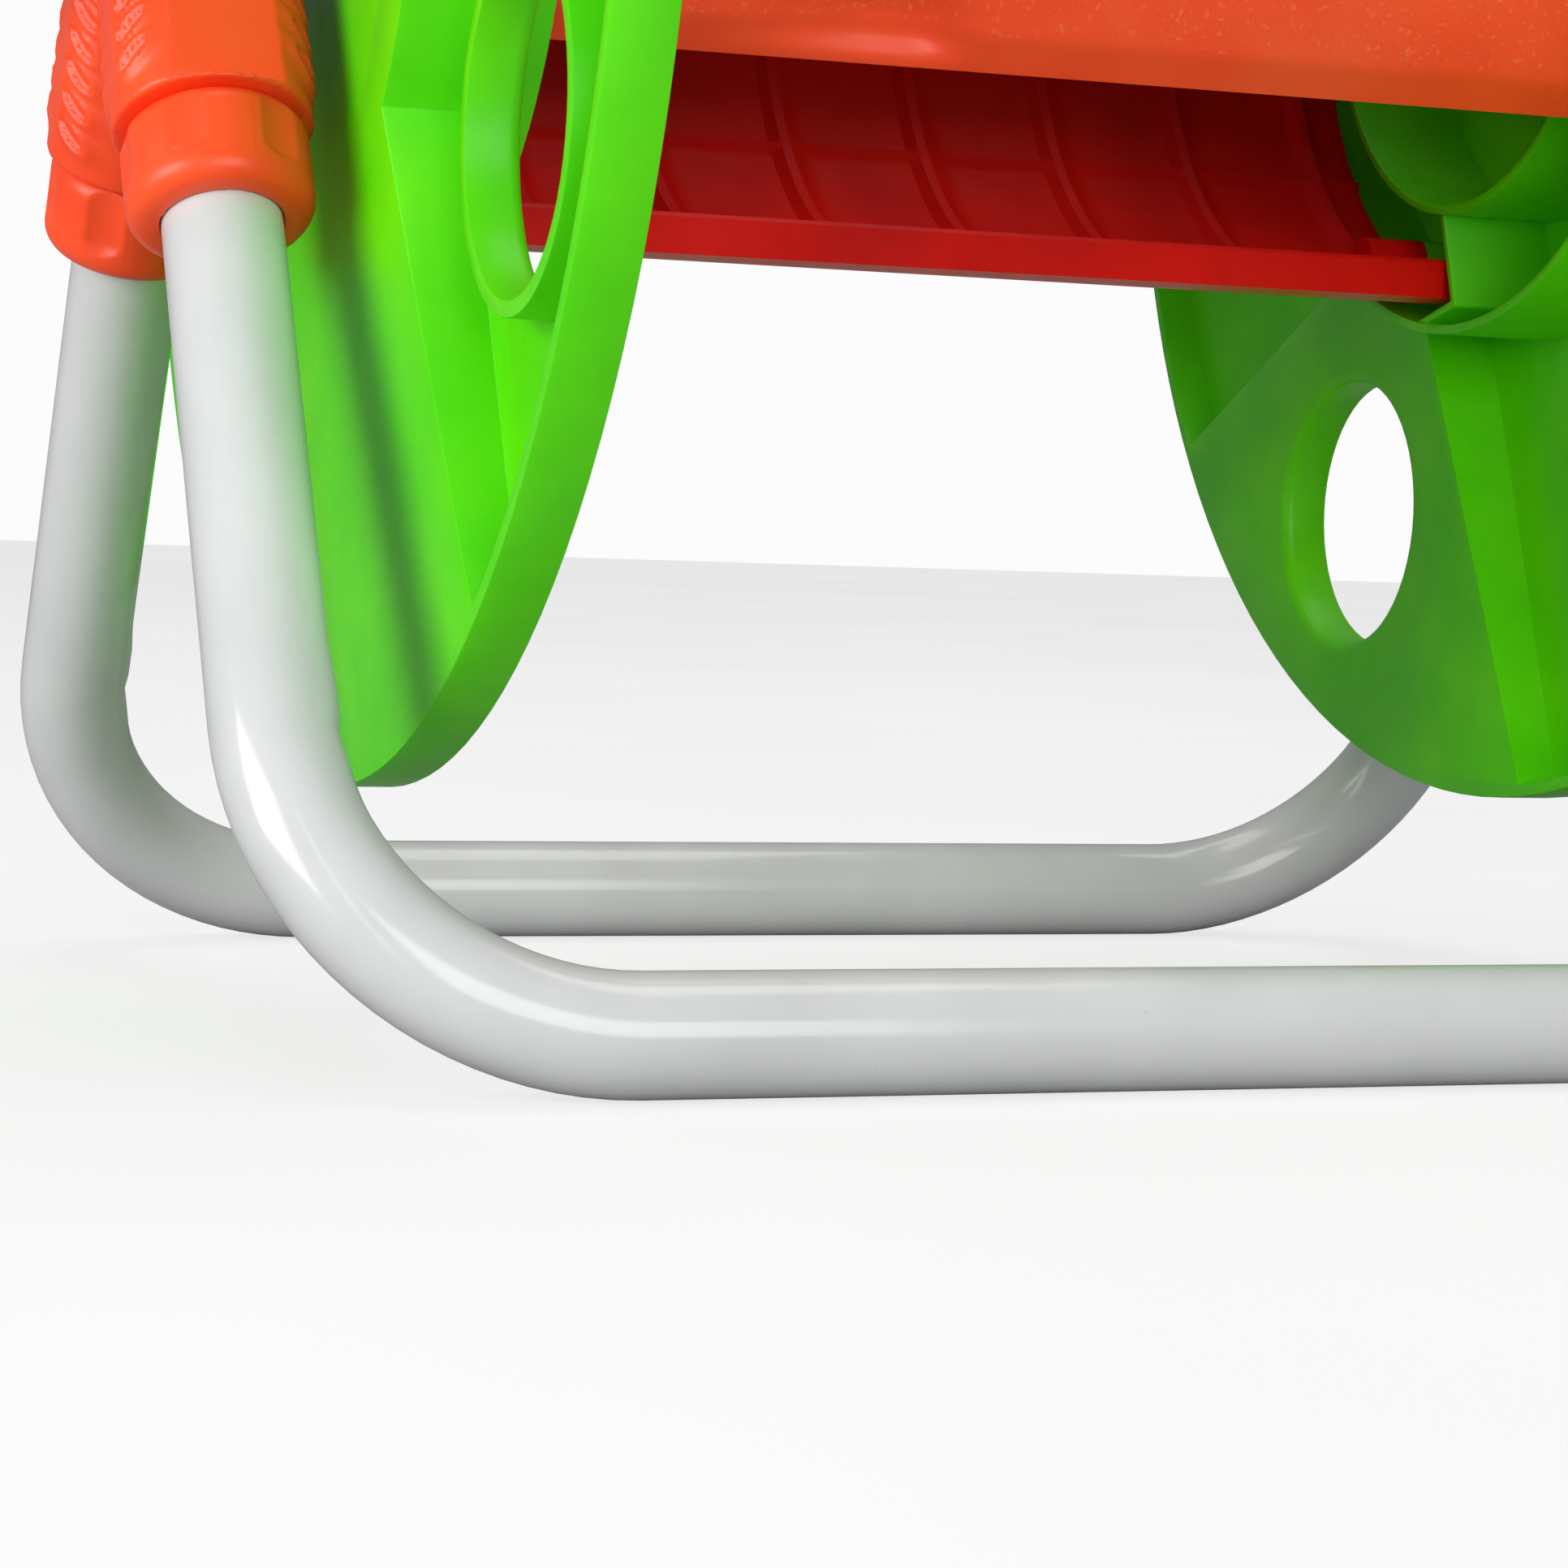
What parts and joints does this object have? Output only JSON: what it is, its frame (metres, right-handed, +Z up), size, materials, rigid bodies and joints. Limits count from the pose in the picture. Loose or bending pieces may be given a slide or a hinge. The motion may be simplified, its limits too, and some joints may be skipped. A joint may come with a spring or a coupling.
{
  "type": "garden hose reel",
  "caption": "Free-standing garden hose reel on bent steel tube legs, with green flanges, orange drum shells, carrying handle, crank and water inlet.",
  "frame": {"origin": "on the floor, midway between the legs and under the axle", "axes": "+X along the axle towards the crank, +Y to the rear, +Z up"},
  "size_m": [0.5432, 0.36, 0.494],
  "materials": {
    "tube_paint": "gloss",
    "orange_plastic": "satin",
    "green_plastic": "satin",
    "dark_plastic": "matte",
    "zinc_steel": "satin",
    "seal_rubber": "matte"
  },
  "bodies": {
    "stand": {"front_leg": "tube_paint", "rear_leg": "tube_paint", "handle_tube": "tube_paint", "handle_grip": "orange_plastic", "left_bracket": "orange_plastic", "right_bracket": "orange_plastic", "left_front_collar": "orange_plastic", "left_rear_collar": "orange_plastic", "left_top_collar": "orange_plastic", "right_front_collar": "orange_plastic", "right_rear_collar": "orange_plastic", "right_top_collar": "orange_plastic", "left_bush": "dark_plastic", "right_bush": "dark_plastic", "left_bracket_screws": "zinc_steel", "right_bracket_screws": "zinc_steel"},
    "reel": {"left_flange": "green_plastic", "right_flange": "green_plastic", "front_drum_shell": "orange_plastic", "rear_drum_shell": "orange_plastic", "left_flange_screws": "zinc_steel", "right_flange_screws": "zinc_steel", "left_spindle": "dark_plastic", "right_spindle": "dark_plastic", "outlet_elbow": "dark_plastic", "outlet_nut": "orange_plastic", "crank_arm": "orange_plastic", "crank_bolt": "zinc_steel", "knob_pin": "zinc_steel"},
    "knob": {"crank_knob": "green_plastic"},
    "inlet": {"inlet_swivel": "dark_plastic", "inlet_seal": "seal_rubber", "inlet_connector": "orange_plastic"}
  },
  "joints": [
    {"name": "reel_spin", "type": "hinge", "parent": "stand", "child": "reel", "pos_m": [0, 0, 0.224], "axis": [1, 0, 0], "continuous": true},
    {"name": "knob_spin", "type": "hinge", "parent": "reel", "child": "knob", "pos_m": [0.234, 0, 0.116], "axis": [1, 0, 0], "continuous": true},
    {"name": "inlet_spin", "type": "hinge", "parent": "stand", "child": "inlet", "pos_m": [-0.23, 0, 0.224], "axis": [1, 0, 0], "continuous": true}
  ]
}
